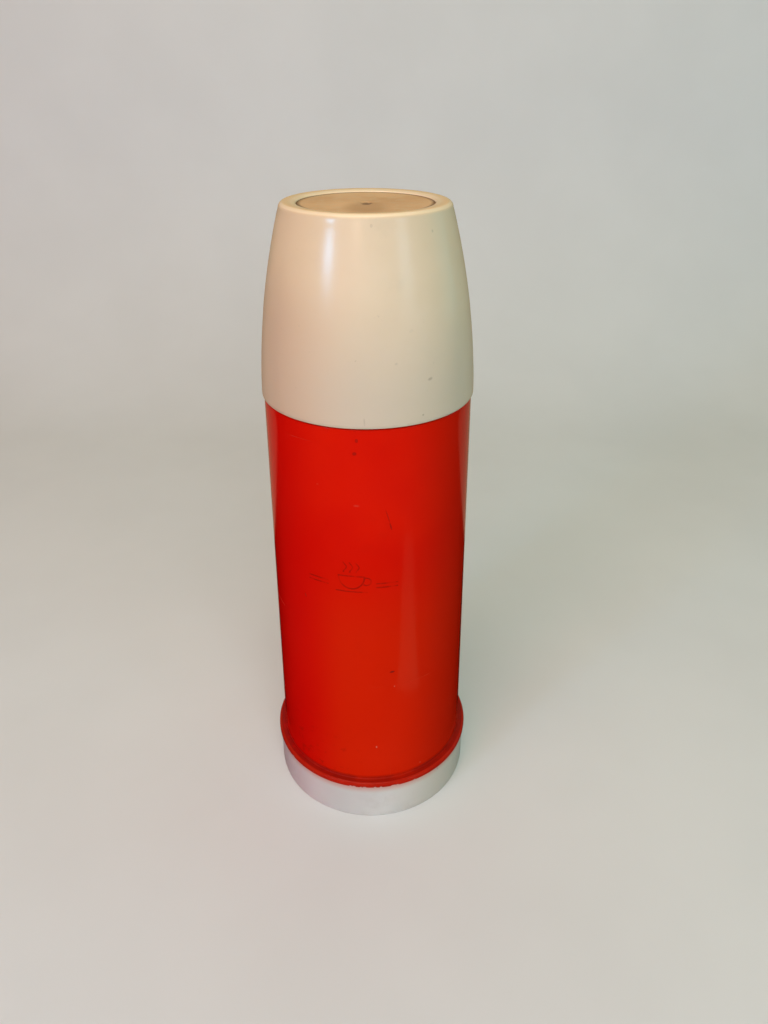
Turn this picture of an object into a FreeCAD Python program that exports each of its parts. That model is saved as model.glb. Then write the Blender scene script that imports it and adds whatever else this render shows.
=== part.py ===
import FreeCAD, Part
import os

# Vacuum flask standing upright: a tapered moulded case over a glass vacuum vessel,
# closed by a screw stopper and by a drinking cup that is screwed on upside down.
# Millimetres. +Z is up along the flask's axis, the origin is the centre of the foot,
# and the front is -Y.

# ---------------------------------------------------------------- driving dimensions
TOTAL_HEIGHT = 262.5
CUP_RIM_Z = 194.2            # lower edge of the screwed-on cup
LIP_Z = 19.6                 # lower edge of the case, where it meets the base

CASE_RADIUS_LOW = 42.7       # case just above its flared lip
CASE_RADIUS_TOP = 40.1       # case just under the cup
CASE_WALL = 2.2
CASE_TOP_ROUND = 0.4
LIP_RADIUS = 46.0
LIP_HEIGHT = 2.6
LIP_CREASE_ROUND = 0.6       # hollow where the lip leaves the case
LIP_TOP_ROUND = 1.1
LIP_FOOT_ROUND = 0.5
BASE_RADIUS = 45.3
BASE_FOOT_ROUND = 0.5

CUP_RIM_RADIUS = 41.0
CUP_MIDDLE_RADIUS = 37.8     # half way up the cup's curved side
CUP_TOP_RADIUS = 30.4        # where the side meets the rounded top edge
CUP_WALL = 1.9
FOOT_CREST_RADIUS = 28.2     # highest circle of the foot ring on the cup
FOOT_INNER_RADIUS = 24.2     # edge of the recess inside the foot ring
DISC_SINK = 0.75             # disc in that recess, below the foot's crest
DIMPLE_RADIUS = 1.6
DIMPLE_DEPTH = 0.5

GLASS_RADIUS = 36.0          # outside of the outer glass vessel
GLASS_WALL = 1.4
VACUUM_GAP = 3.1
MOUTH_RADIUS = 20.5          # clear radius of the glass mouth
GLASS_TOP = 204.0

LEAD = 5.0                   # height gained in one turn, the same on every thread
LONG_THREAD_TURNS = 1.75     # cup thread and the stopper's own thread
SHORT_THREAD_TURNS = 1.5
RIDGE_ROOT = 2.4             # width of a thread ridge where it meets its wall
RIDGE_CREST = 1.1
RIDGE_HEIGHT = 1.2
RIDGE_SINK = 0.3             # how far a ridge is sunk into its wall
THREAD_CLEARANCE = 0.4       # crest of one thread to the wall of the other

FIT_GAP = 0.1                # between pieces that bear on each other
LOOSE_GAP = 0.3              # between pieces that only lie near each other

# ---------------------------------------------------------------- worked-out dimensions
CASE_TOP_Z = CUP_RIM_Z - 0.6
LIP_TOP_Z = LIP_Z + LIP_HEIGHT

CUP_SIDE_TOP_Z = TOTAL_HEIGHT - 2.0
CUP_SIDE_MIDDLE_Z = (CUP_RIM_Z + CUP_SIDE_TOP_Z) / 2
CUP_POCKET_Z = TOTAL_HEIGHT - 3.0
CUP_FLOOR_Z = CUP_POCKET_Z - 2.3
CUP_FLOOR_RADIUS = CUP_TOP_RADIUS - CUP_WALL + 0.4

CUP_THREAD_WALL = 37.6                                      # inside wall of the cup
COLLAR_THREAD_WALL = CUP_THREAD_WALL - RIDGE_HEIGHT - THREAD_CLEARANCE
STOPPER_BORE = 29.6                                         # inside wall of the collar
STOPPER_THREAD_WALL = STOPPER_BORE - RIDGE_HEIGHT - THREAD_CLEARANCE
BASE_BORE = 40.6                                            # inside wall of the case
BASE_THREAD_WALL = BASE_BORE - RIDGE_HEIGHT - THREAD_CLEARANCE

INNER_GLASS_RADIUS = GLASS_RADIUS - GLASS_WALL - VACUUM_GAP
NECK_RADIUS = MOUTH_RADIUS + VACUUM_GAP + 2 * GLASS_WALL     # outside of the glass neck

CASE_HOLE = 33.0             # hole in the case's shoulder for the collar
COLLAR_SEAT_Z = CASE_TOP_Z + 0.8
COLLAR_TOP_Z = 222.0         # pouring lip
CUP_THREAD_Z = 199.5
CUP_THREAD_TOP_Z = CUP_THREAD_Z + 14.0                      # the cup narrows above this
STOPPER_THREAD_Z = 210.5
BASE_THREAD_Z = 22.0

SEAL_TOP_Z = GLASS_TOP + 2.2
SEAL_SKIRT_Z = GLASS_TOP - 9.0
SEAL_RADIUS = NECK_RADIUS + 1.8
SEAL_ROUND = 0.6
COLLAR_LEDGE_RADIUS = 27.6   # ledge that holds the neck seal down on the glass
COLLAR_FLANGE = 2.0          # height of the flange that sits on the case
WASHER_RADIUS = COLLAR_LEDGE_RADIUS - 0.4
WASHER_TOP_Z = SEAL_TOP_Z + FIT_GAP + 2.0
COLLAR_LEDGE_Z = WASHER_TOP_Z - 0.6
STOPPER_SHOULDER_Z = WASHER_TOP_Z + FIT_GAP
STOPPER_WALL = 2.0
PLUG_RADIUS = 18.8           # part of the stopper that hangs in the glass neck
PLUG_BOTTOM_Z = 195.0
HEAD_RADIUS = 31.6
HEAD_BOTTOM_Z = COLLAR_TOP_Z + 0.5
STOPPER_TOP_Z = 239.0
LID_THICKNESS = 2.4
LID_SINK = 0.4               # lid below the stopper's rim
LID_RIM_WIDTH = 2.5
LID_PANEL_DEPTH = 0.7        # recessed ring between the lid's rim and its boss
LID_BOSS_RADIUS = 9.0
LID_BOSS_SINK = 0.2
FLUTE_COUNT = 30
FLUTE_RADIUS = 1.5

GLASS_BOTTOM_Z = 23.0
GLASS_SHOULDER_Z = 168.0
GLASS_NECK_Z = 184.0
GLASS_BOTTOM_ROUND = 22.0
GLASS_SHOULDER_ROUND = 16.0
GLASS_NECK_ROUND = 5.0
GLASS_LIP_HEIGHT = 1.8
GLASS_LIP_ROUND = 0.8
TIP_END_Z = 12.5             # sealed pumping tip under the glass
TIP_MIDDLE_Z = 19.0
TIP_RADII = (1.4, 2.6, 4.6)  # at its end, half way up and at the glass
SPACER_RADIUS = 4.5
SPACER_COUNT = 3
SPACER_Z = 62.0

CUSHION_TOP_Z = 185.0        # ring under the case's shoulder
CUSHION_LOW_Z = 170.0
CUSHION_BORE = 26.0
SLEEVE_LOW_Z = 48.0
SLEEVE_TOP_Z = 164.0
SLEEVE_THICKNESS = 1.0
CRADLE_TOP_Z = 33.0          # cushion under the glass
CRADLE_BORE = 8.0
SLOT_COUNT = 8
SLOT_WIDTH = 3.0
SLOT_HEIGHT = 9.0
SLOT_LENGTH = 30.0
SLOT_START = 14.0
TIP_CUP_RADIUS = 6.4
TIP_CUP_BORE = 3.0
TIP_CUP_TOP_Z = 18.5
TIP_CUP_FLOOR_Z = 11.5

BASE_FLOOR_Z = 8.2
BASE_FLOOR_THICKNESS = 2.6
BASE_LEDGE_Z = LIP_Z - 0.2
BASE_LEDGE_THICKNESS = 3.0
BASE_SKIRT_WALL = 3.0
BASE_RIB_COUNT = 12
BASE_RIB_WIDTH = 1.6
BASE_RIB_FOOT_Z = 2.0
SEAL_RING_RADIUS = 42.6      # middle of the O-ring between base and case
SEAL_RING_THICKNESS = 1.5
SEAL_GROOVE_WIDTH = 2.0
SEAL_GROOVE_DEPTH = 1.4
SPIGOT_WALL = 2.2
SPIGOT_TOP_Z = 35.0

Vector = FreeCAD.Vector
ORIGIN = Vector(0, 0, 0)
UP = Vector(0, 0, 1)


# ---------------------------------------------------------------- shape helpers
def at(radius, height):
    return Vector(radius, 0, height)


def via(radius, height):
    """Marks a point that an arc passes through between the corners either side."""
    return ("via", radius, height)


def turned(*outline):
    """Solid of revolution about Z of a closed outline of (radius, height) corners."""
    edges = []
    start = at(*outline[0])
    middle = None
    for corner in [*outline[1:], outline[0]]:
        if corner[0] == "via":
            middle = at(*corner[1:])
            continue
        end = at(*corner)
        if middle is None:
            edges.append(Part.LineSegment(start, end).toShape())
        else:
            edges.append(Part.Arc(start, middle, end).toShape())
        start = end
        middle = None
    return Part.Face(Part.Wire(edges)).revolve(ORIGIN, UP, 360)


def ring(inner_radius, outer_radius, bottom_z, top_z):
    return turned(
        (inner_radius, bottom_z),
        (outer_radius, bottom_z),
        (outer_radius, top_z),
        (inner_radius, top_z),
    )


def is_ring_edge(edge, radius, height):
    curve = edge.Curve
    if not isinstance(curve, Part.Circle):
        return False
    return abs(curve.Radius - radius) < 0.01 and abs(curve.Center.z - height) < 0.01


def rounded(solid, radius, *corners):
    """Rounds the circular edges of a turned solid at these (radius, height) corners."""
    edges = [e for e in solid.Edges if any(is_ring_edge(e, *c) for c in corners)]
    return solid.makeFillet(radius, edges)


def around(shape, count):
    """Copies of a shape, evenly spaced about the axis."""
    copies = []
    for number in range(count):
        copy = shape.copy()
        copy.rotate(ORIGIN, UP, 360.0 * number / count)
        copies.append(copy)
    return copies


def thread_ridge(wall_radius, start_z, outward, turns=LONG_THREAD_TURNS):
    """Right-handed helical ridge on a round wall; a nut's ridge points inward."""
    side = 1 if outward else -1
    sunk = wall_radius - side * RIDGE_SINK
    crest = wall_radius + side * RIDGE_HEIGHT
    section = Part.makePolygon(
        [
            at(sunk, -RIDGE_ROOT / 2),
            at(crest, -RIDGE_CREST / 2),
            at(crest, RIDGE_CREST / 2),
            at(sunk, RIDGE_ROOT / 2),
            at(sunk, -RIDGE_ROOT / 2),
        ]
    )
    helix = Part.Wire(Part.makeHelix(LEAD, LEAD * turns, wall_radius))
    ridge = helix.makePipeShell([section], True, True)
    ridge.translate(Vector(0, 0, start_z))
    return ridge


def case_radius(height):
    """Outside radius of the tapered case."""
    share = (height - LIP_TOP_Z) / (CASE_TOP_Z - LIP_TOP_Z)
    return CASE_RADIUS_LOW + share * (CASE_RADIUS_TOP - CASE_RADIUS_LOW)


def vessel(shrink):
    """Filled bottle shape of the outer glass vessel, every wall moved in by shrink."""
    body = GLASS_RADIUS - shrink
    neck = NECK_RADIUS - shrink
    bottom = GLASS_BOTTOM_Z + shrink
    shape = turned(
        (0, bottom),
        (body, bottom),
        (body, GLASS_SHOULDER_Z),
        (neck, GLASS_NECK_Z),
        (neck, GLASS_TOP),
        (0, GLASS_TOP),
    )
    shape = rounded(shape, GLASS_BOTTOM_ROUND - shrink, (body, bottom))
    shape = rounded(shape, GLASS_SHOULDER_ROUND - shrink, (body, GLASS_SHOULDER_Z))
    return rounded(shape, GLASS_NECK_ROUND + shrink, (neck, GLASS_NECK_Z))


# ---------------------------------------------------------------- cup
def make_cup():
    inner_middle_z = (CUP_THREAD_TOP_Z + CUP_FLOOR_Z) / 2
    foot_edge_z = TOTAL_HEIGHT - 0.5
    rim_chamfer = 0.9
    outside = turned(
        (0, CUP_RIM_Z),
        (CUP_RIM_RADIUS, CUP_RIM_Z),
        via(CUP_MIDDLE_RADIUS, CUP_SIDE_MIDDLE_Z),
        (CUP_TOP_RADIUS, CUP_SIDE_TOP_Z),
        via(CUP_TOP_RADIUS - 0.7, TOTAL_HEIGHT - 0.55),
        (FOOT_CREST_RADIUS, TOTAL_HEIGHT),
        (FOOT_INNER_RADIUS, foot_edge_z),
        (FOOT_INNER_RADIUS, CUP_POCKET_Z),
        (0, CUP_POCKET_Z),
    )
    outside = rounded(outside, 0.7, (CUP_RIM_RADIUS, CUP_RIM_Z))
    outside = rounded(outside, 0.3, (FOOT_INNER_RADIUS, foot_edge_z))
    inside = turned(
        (0, CUP_RIM_Z),
        (CUP_THREAD_WALL + rim_chamfer, CUP_RIM_Z),
        (CUP_THREAD_WALL, CUP_RIM_Z + 1.6),
        (CUP_THREAD_WALL, CUP_THREAD_TOP_Z),
        via(CUP_MIDDLE_RADIUS - CUP_WALL - 0.9, inner_middle_z),
        (CUP_FLOOR_RADIUS, CUP_FLOOR_Z),
        (0, CUP_FLOOR_Z),
    )
    inside = rounded(inside, 3, (CUP_FLOOR_RADIUS, CUP_FLOOR_Z))
    ridge = thread_ridge(CUP_THREAD_WALL, CUP_THREAD_Z + LEAD / 2, outward=False)
    return outside.cut(inside).fuse(ridge)


def make_cup_foot_disc():
    radius = FOOT_INNER_RADIUS - FIT_GAP
    bottom_z = CUP_POCKET_Z + FIT_GAP / 2
    top_z = TOTAL_HEIGHT - DISC_SINK
    disc = turned(
        (0, bottom_z),
        (radius, bottom_z),
        (radius, top_z),
        (DIMPLE_RADIUS, top_z),
        (DIMPLE_RADIUS - 0.4, top_z - DIMPLE_DEPTH),
        (0, top_z - DIMPLE_DEPTH),
    )
    return rounded(disc, 0.3, (radius, top_z))


# ---------------------------------------------------------------- stopper
def make_stopper_shell():
    bore = STOPPER_THREAD_WALL - STOPPER_WALL
    plug_bore = PLUG_RADIUS - STOPPER_WALL
    lid_seat_z = STOPPER_TOP_Z - LID_THICKNESS
    shell = turned(
        (0, PLUG_BOTTOM_Z),
        (PLUG_RADIUS, PLUG_BOTTOM_Z),
        (PLUG_RADIUS, STOPPER_SHOULDER_Z),
        (STOPPER_THREAD_WALL, STOPPER_SHOULDER_Z),
        (STOPPER_THREAD_WALL, HEAD_BOTTOM_Z),
        (HEAD_RADIUS, HEAD_BOTTOM_Z),
        (HEAD_RADIUS, STOPPER_TOP_Z),
        (STOPPER_THREAD_WALL, STOPPER_TOP_Z),
        (STOPPER_THREAD_WALL, lid_seat_z),
        (bore, lid_seat_z),
        (bore, STOPPER_SHOULDER_Z + STOPPER_WALL),
        (plug_bore, STOPPER_SHOULDER_Z + STOPPER_WALL),
        (plug_bore, PLUG_BOTTOM_Z + STOPPER_WALL),
        (0, PLUG_BOTTOM_Z + STOPPER_WALL),
    )
    shell = rounded(shell, 1.5, (PLUG_RADIUS, PLUG_BOTTOM_Z))
    shell = rounded(shell, 1.2, (HEAD_RADIUS, STOPPER_TOP_Z))
    shell = rounded(shell, 0.8, (HEAD_RADIUS, HEAD_BOTTOM_Z))
    flute_height = STOPPER_TOP_Z - HEAD_BOTTOM_Z - 3 * FLUTE_RADIUS
    flute_foot = at(HEAD_RADIUS + FLUTE_RADIUS / 2, HEAD_BOTTOM_Z + FLUTE_RADIUS)
    flute = Part.makeCylinder(FLUTE_RADIUS, flute_height, flute_foot, UP)
    shell = shell.cut(Part.makeCompound(around(flute, FLUTE_COUNT)))
    return shell.fuse(thread_ridge(STOPPER_THREAD_WALL, STOPPER_THREAD_Z, outward=True))


def make_stopper_lid():
    radius = STOPPER_THREAD_WALL - FIT_GAP / 2
    bottom_z = STOPPER_TOP_Z - LID_THICKNESS + FIT_GAP / 2
    top_z = STOPPER_TOP_Z - LID_SINK
    panel_z = top_z - LID_PANEL_DEPTH
    slope = 1.0
    lid = turned(
        (0, bottom_z),
        (radius, bottom_z),
        (radius, top_z),
        (radius - LID_RIM_WIDTH, top_z),
        (radius - LID_RIM_WIDTH - slope, panel_z),
        (LID_BOSS_RADIUS + slope, panel_z),
        (LID_BOSS_RADIUS, top_z - LID_BOSS_SINK),
        (0, top_z - LID_BOSS_SINK),
    )
    return rounded(lid, 0.4, (radius, top_z))


def make_stopper_core():
    inset = STOPPER_WALL + LOOSE_GAP
    top_z = STOPPER_TOP_Z - LID_THICKNESS - LOOSE_GAP
    return turned(
        (0, PLUG_BOTTOM_Z + inset),
        (PLUG_RADIUS - inset, PLUG_BOTTOM_Z + inset),
        (PLUG_RADIUS - inset, STOPPER_SHOULDER_Z + inset),
        (STOPPER_THREAD_WALL - inset, STOPPER_SHOULDER_Z + inset),
        (STOPPER_THREAD_WALL - inset, top_z),
        (0, top_z),
    )


def make_stopper_washer():
    bottom_z = SEAL_TOP_Z + FIT_GAP
    washer = ring(PLUG_RADIUS + FIT_GAP, WASHER_RADIUS, bottom_z, WASHER_TOP_Z)
    return rounded(washer, SEAL_ROUND, (WASHER_RADIUS, bottom_z))


# ---------------------------------------------------------------- neck
def make_neck_collar():
    step_z = CUP_THREAD_Z + LEAD * LONG_THREAD_TURNS + 2.2
    lip_foot_z = step_z + 2.4
    lip_radius = STOPPER_BORE + 2.0
    seal_bore = SEAL_RADIUS + 0.2
    skirt_radius = CASE_HOLE - LOOSE_GAP
    skirt_bore = skirt_radius - 2.1
    skirt_bottom_z = COLLAR_SEAT_Z - 9.0
    snap_radius = CASE_HOLE + 0.8
    snap_z = CASE_TOP_Z - CASE_WALL - LOOSE_GAP
    flange_radius = COLLAR_THREAD_WALL + 0.8
    collar = turned(
        (COLLAR_LEDGE_RADIUS, SEAL_TOP_Z + FIT_GAP),
        (seal_bore, SEAL_TOP_Z + FIT_GAP),
        (seal_bore, COLLAR_SEAT_Z - 1.5),
        (skirt_bore, COLLAR_SEAT_Z - 4.0),
        (skirt_bore, skirt_bottom_z),
        (skirt_radius, skirt_bottom_z),
        (snap_radius, snap_z - 2.5),
        (snap_radius, snap_z),
        (skirt_radius, snap_z),
        (skirt_radius, COLLAR_SEAT_Z),
        (flange_radius, COLLAR_SEAT_Z),
        (flange_radius, COLLAR_SEAT_Z + COLLAR_FLANGE),
        (COLLAR_THREAD_WALL, COLLAR_SEAT_Z + COLLAR_FLANGE),
        (COLLAR_THREAD_WALL, step_z),
        (lip_radius, lip_foot_z),
        (lip_radius, COLLAR_TOP_Z),
        (STOPPER_BORE, COLLAR_TOP_Z),
        (STOPPER_BORE, COLLAR_LEDGE_Z),
        (COLLAR_LEDGE_RADIUS, COLLAR_LEDGE_Z),
    )
    collar = rounded(collar, 1.2, (COLLAR_THREAD_WALL, step_z))
    collar = rounded(collar, 1.0, (lip_radius, lip_foot_z))
    collar = rounded(collar, 0.8, (lip_radius, COLLAR_TOP_Z), (STOPPER_BORE, COLLAR_TOP_Z))
    cup_ridge = thread_ridge(COLLAR_THREAD_WALL, CUP_THREAD_Z, outward=True)
    nut_z = STOPPER_THREAD_Z + LEAD / 2
    stopper_ridge = thread_ridge(STOPPER_BORE, nut_z, outward=False, turns=SHORT_THREAD_TURNS)
    return collar.fuse([cup_ridge, stopper_ridge])


def make_collar_gasket():
    return ring(CASE_HOLE + LOOSE_GAP, COLLAR_THREAD_WALL + 0.3, CASE_TOP_Z, COLLAR_SEAT_Z)


def make_neck_seal():
    inner = MOUTH_RADIUS + 0.2
    skirt = NECK_RADIUS + FIT_GAP
    seal = turned(
        (inner, GLASS_TOP + FIT_GAP),
        (skirt, GLASS_TOP + FIT_GAP),
        (skirt, SEAL_SKIRT_Z),
        (SEAL_RADIUS, SEAL_SKIRT_Z),
        (SEAL_RADIUS, SEAL_TOP_Z),
        (inner, SEAL_TOP_Z),
    )
    return rounded(seal, SEAL_ROUND, (inner, SEAL_TOP_Z), (SEAL_RADIUS, SEAL_SKIRT_Z))


# ---------------------------------------------------------------- glass
def make_glass_inner_vessel():
    outer_shrink = GLASS_RADIUS - INNER_GLASS_RADIUS
    shell = vessel(outer_shrink).cut(vessel(outer_shrink + GLASS_WALL))
    lip_outer = NECK_RADIUS - GLASS_WALL - 0.05
    lip = ring(MOUTH_RADIUS, lip_outer, GLASS_TOP - GLASS_LIP_HEIGHT, GLASS_TOP)
    glass = shell.fuse(lip).removeSplitter()
    return rounded(glass, GLASS_LIP_ROUND, (MOUTH_RADIUS, GLASS_TOP))


def make_glass_outer_vessel():
    end, middle, root = TIP_RADII
    root_z = GLASS_BOTTOM_Z + GLASS_WALL / 3
    tip = turned(
        (0, TIP_END_Z),
        (end, TIP_END_Z + 0.5),
        (middle, TIP_MIDDLE_Z),
        (root, root_z),
        (0, root_z),
    )
    shell = rounded(vessel(0), GLASS_LIP_ROUND, (NECK_RADIUS, GLASS_TOP))
    return shell.cut(vessel(GLASS_WALL)).fuse(tip)


def make_vacuum_spacers():
    low = INNER_GLASS_RADIUS + FIT_GAP
    high = GLASS_RADIUS - GLASS_WALL - FIT_GAP
    band = ring(low, high, SPACER_Z - 2 * SPACER_RADIUS, SPACER_Z + 2 * SPACER_RADIUS)
    pin = Part.makeCylinder(SPACER_RADIUS, high, at(SPACER_RADIUS, SPACER_Z), Vector(1, 0, 0))
    return Part.makeCompound(around(band.common(pin), SPACER_COUNT))


def make_tip_protector():
    return turned(
        (0, BASE_FLOOR_Z + LOOSE_GAP),
        (TIP_CUP_RADIUS, BASE_FLOOR_Z + LOOSE_GAP),
        (TIP_CUP_RADIUS, TIP_CUP_TOP_Z - 1.0),
        (TIP_CUP_RADIUS - 0.6, TIP_CUP_TOP_Z),
        (TIP_CUP_BORE, TIP_CUP_TOP_Z),
        (TIP_CUP_BORE, TIP_CUP_FLOOR_Z),
        (0, TIP_CUP_FLOOR_Z),
    )


# ---------------------------------------------------------------- packing and cushions
def make_shoulder_cushion():
    outer = case_radius(CUSHION_TOP_Z) - CASE_WALL - LOOSE_GAP
    block = ring(CUSHION_BORE, outer, CUSHION_LOW_Z, CUSHION_TOP_Z)
    return block.cut(vessel(-FIT_GAP))


def make_packing_sleeve():
    inner = GLASS_RADIUS + LOOSE_GAP
    return ring(inner, inner + SLEEVE_THICKNESS, SLEEVE_LOW_Z, SLEEVE_TOP_Z)


def make_bottom_cushion():
    outer = BASE_THREAD_WALL - SPIGOT_WALL - LOOSE_GAP
    block = ring(CRADLE_BORE, outer, BASE_FLOOR_Z + FIT_GAP, CRADLE_TOP_Z)
    cradle = block.cut(vessel(-FIT_GAP))
    corner = Vector(SLOT_START, -SLOT_WIDTH / 2, BASE_FLOOR_Z)
    slot = Part.makeBox(SLOT_LENGTH, SLOT_WIDTH, SLOT_HEIGHT, corner)
    return cradle.cut(Part.makeCompound(around(slot, SLOT_COUNT)))


# ---------------------------------------------------------------- case and base
def make_case():
    shoulder_z = CASE_TOP_Z - CASE_WALL
    bore_top_z = SPIGOT_TOP_Z + 2.0
    case = turned(
        (BASE_BORE, LIP_Z),
        (LIP_RADIUS, LIP_Z),
        (LIP_RADIUS, LIP_TOP_Z),
        (CASE_RADIUS_LOW, LIP_TOP_Z),
        (CASE_RADIUS_TOP, CASE_TOP_Z),
        (CASE_HOLE, CASE_TOP_Z),
        (CASE_HOLE, shoulder_z),
        (case_radius(shoulder_z) - CASE_WALL, shoulder_z),
        (case_radius(bore_top_z) - CASE_WALL, bore_top_z),
        (BASE_BORE, bore_top_z - 0.6),
    )
    case = rounded(case, LIP_CREASE_ROUND, (CASE_RADIUS_LOW, LIP_TOP_Z))
    case = rounded(case, LIP_TOP_ROUND, (LIP_RADIUS, LIP_TOP_Z))
    case = rounded(case, LIP_FOOT_ROUND, (LIP_RADIUS, LIP_Z))
    case = rounded(case, CASE_TOP_ROUND, (CASE_RADIUS_TOP, CASE_TOP_Z))
    ridge = thread_ridge(BASE_BORE, BASE_THREAD_Z + LEAD / 2, outward=False, turns=SHORT_THREAD_TURNS)
    return case.fuse(ridge)


def make_base():
    spigot_bore = BASE_THREAD_WALL - SPIGOT_WALL
    skirt_inner = BASE_RADIUS - BASE_SKIRT_WALL
    ledge_under_z = BASE_LEDGE_Z - BASE_LEDGE_THICKNESS
    floor_under_z = BASE_FLOOR_Z - BASE_FLOOR_THICKNESS
    base = turned(
        (skirt_inner, 0),
        (BASE_RADIUS, 0),
        (BASE_RADIUS, BASE_LEDGE_Z),
        (BASE_THREAD_WALL, BASE_LEDGE_Z),
        (BASE_THREAD_WALL, SPIGOT_TOP_Z),
        (spigot_bore, SPIGOT_TOP_Z),
        (spigot_bore, BASE_FLOOR_Z),
        (0, BASE_FLOOR_Z),
        (0, floor_under_z),
        (BASE_THREAD_WALL, floor_under_z),
        (BASE_THREAD_WALL, ledge_under_z),
        (skirt_inner, ledge_under_z),
    )
    base = rounded(base, BASE_FOOT_ROUND, (BASE_RADIUS, 0))
    base = rounded(base, 0.4, (BASE_RADIUS, BASE_LEDGE_Z))
    groove_inner = SEAL_RING_RADIUS - SEAL_GROOVE_WIDTH / 2
    groove_outer = SEAL_RING_RADIUS + SEAL_GROOVE_WIDTH / 2
    groove_floor_z = BASE_LEDGE_Z - SEAL_GROOVE_DEPTH
    base = base.cut(ring(groove_inner, groove_outer, groove_floor_z, TOTAL_HEIGHT))
    sunk = 0.2
    rib_length = skirt_inner - BASE_THREAD_WALL + 2 * sunk
    rib_foot = Vector(BASE_THREAD_WALL - sunk, -BASE_RIB_WIDTH / 2, BASE_RIB_FOOT_Z)
    rib_height = ledge_under_z - BASE_RIB_FOOT_Z + sunk
    rib = Part.makeBox(rib_length, BASE_RIB_WIDTH, rib_height, rib_foot)
    ridge = thread_ridge(BASE_THREAD_WALL, BASE_THREAD_Z, outward=True, turns=SHORT_THREAD_TURNS)
    return base.fuse([*around(rib, BASE_RIB_COUNT), ridge])


def make_base_seal():
    thickness = SEAL_RING_THICKNESS / 2
    middle_z = BASE_LEDGE_Z - SEAL_GROOVE_DEPTH + thickness + FIT_GAP / 2
    return Part.makeTorus(SEAL_RING_RADIUS, thickness, Vector(0, 0, middle_z))


# ---------------------------------------------------------------- one file per piece
PIECES = {
    "cup": make_cup,
    "cup_foot_disc": make_cup_foot_disc,
    "stopper_shell": make_stopper_shell,
    "stopper_lid": make_stopper_lid,
    "stopper_core": make_stopper_core,
    "stopper_washer": make_stopper_washer,
    "neck_collar": make_neck_collar,
    "collar_gasket": make_collar_gasket,
    "neck_seal": make_neck_seal,
    "glass_inner_vessel": make_glass_inner_vessel,
    "glass_outer_vessel": make_glass_outer_vessel,
    "vacuum_spacers": make_vacuum_spacers,
    "tip_protector": make_tip_protector,
    "shoulder_cushion": make_shoulder_cushion,
    "packing_sleeve": make_packing_sleeve,
    "bottom_cushion": make_bottom_cushion,
    "case": make_case,
    "base": make_base,
    "base_seal": make_base_seal,
}

os.makedirs("parts", exist_ok=True)
for name, make in PIECES.items():
    shape = make()
    shape.exportStep(f"parts/{name}.step")
    print(name, len(shape.Solids), shape.isValid(), round(shape.Volume / 1000, 2), "cm3")
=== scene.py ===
"""Looks of the vacuum flask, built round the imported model. Lengths in the outlines are
millimetres, and every mesh is made in metres in the model's own frame."""
import math

import bpy
import numpy as np
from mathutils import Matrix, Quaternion, Vector


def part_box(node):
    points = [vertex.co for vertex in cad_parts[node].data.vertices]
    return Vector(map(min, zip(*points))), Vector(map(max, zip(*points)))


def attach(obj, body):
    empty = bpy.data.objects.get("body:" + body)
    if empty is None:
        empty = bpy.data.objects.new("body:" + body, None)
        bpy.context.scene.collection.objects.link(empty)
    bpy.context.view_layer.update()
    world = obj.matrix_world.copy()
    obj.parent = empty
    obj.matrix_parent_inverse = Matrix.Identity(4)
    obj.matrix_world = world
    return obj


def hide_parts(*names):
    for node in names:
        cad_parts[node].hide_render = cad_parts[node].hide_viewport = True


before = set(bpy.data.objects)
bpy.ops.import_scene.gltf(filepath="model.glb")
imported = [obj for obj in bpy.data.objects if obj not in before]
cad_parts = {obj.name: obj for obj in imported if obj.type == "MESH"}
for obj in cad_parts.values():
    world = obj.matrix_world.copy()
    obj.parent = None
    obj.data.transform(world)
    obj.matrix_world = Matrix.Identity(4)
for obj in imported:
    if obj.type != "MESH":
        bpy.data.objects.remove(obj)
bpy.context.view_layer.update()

MM = 0.001
TURN = 2 * math.pi


class Extent:
    """Radius and heights of a CAD node, in millimetres."""

    def __init__(self, node):
        low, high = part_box(node)
        self.radius = high[0] / MM
        self.low = low[2] / MM
        self.high = high[2] / MM


CUP = Extent("cup")
DISC = Extent("cup_foot_disc")
CASE = Extent("case")
BASE = Extent("base")
COLLAR = Extent("neck_collar")
STOPPER = Extent("stopper_shell")
LID = Extent("stopper_lid")
WASHER = Extent("stopper_washer")
GASKET = Extent("collar_gasket")
SEAL = Extent("neck_seal")
GLASS = Extent("glass_inner_vessel")

# Threads: every one is right-handed with the same lead.
LEAD = 5.0
RIDGE_ROOT = 2.4
RIDGE_CREST = 1.1
RIDGE_HEIGHT = 1.2
RUN_OUT = 0.06               # share of a turn over which a ridge rises at each end
LONG_RIDGE = 1.75            # turns
SHORT_RIDGE = 1.5
RIDGE_SPACING = 0.34         # between the section points of a wall that carries a ridge
THREAD_GAP = 1.6             # between an outside thread's wall and its mate's

CUP_THREAD_WALL = 37.6
COLLAR_THREAD_WALL = CUP_THREAD_WALL - THREAD_GAP
STOPPER_BORE = 29.6
STOPPER_THREAD_WALL = STOPPER_BORE - THREAD_GAP
CUP_THREAD_Z = CUP.low + 5.3
BASE_THREAD_Z = CASE.low + 2.4
BASE_NUT_Z = BASE_THREAD_Z + LEAD / 2
STOPPER_THREAD_Z = STOPPER.high - 28.5


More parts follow.
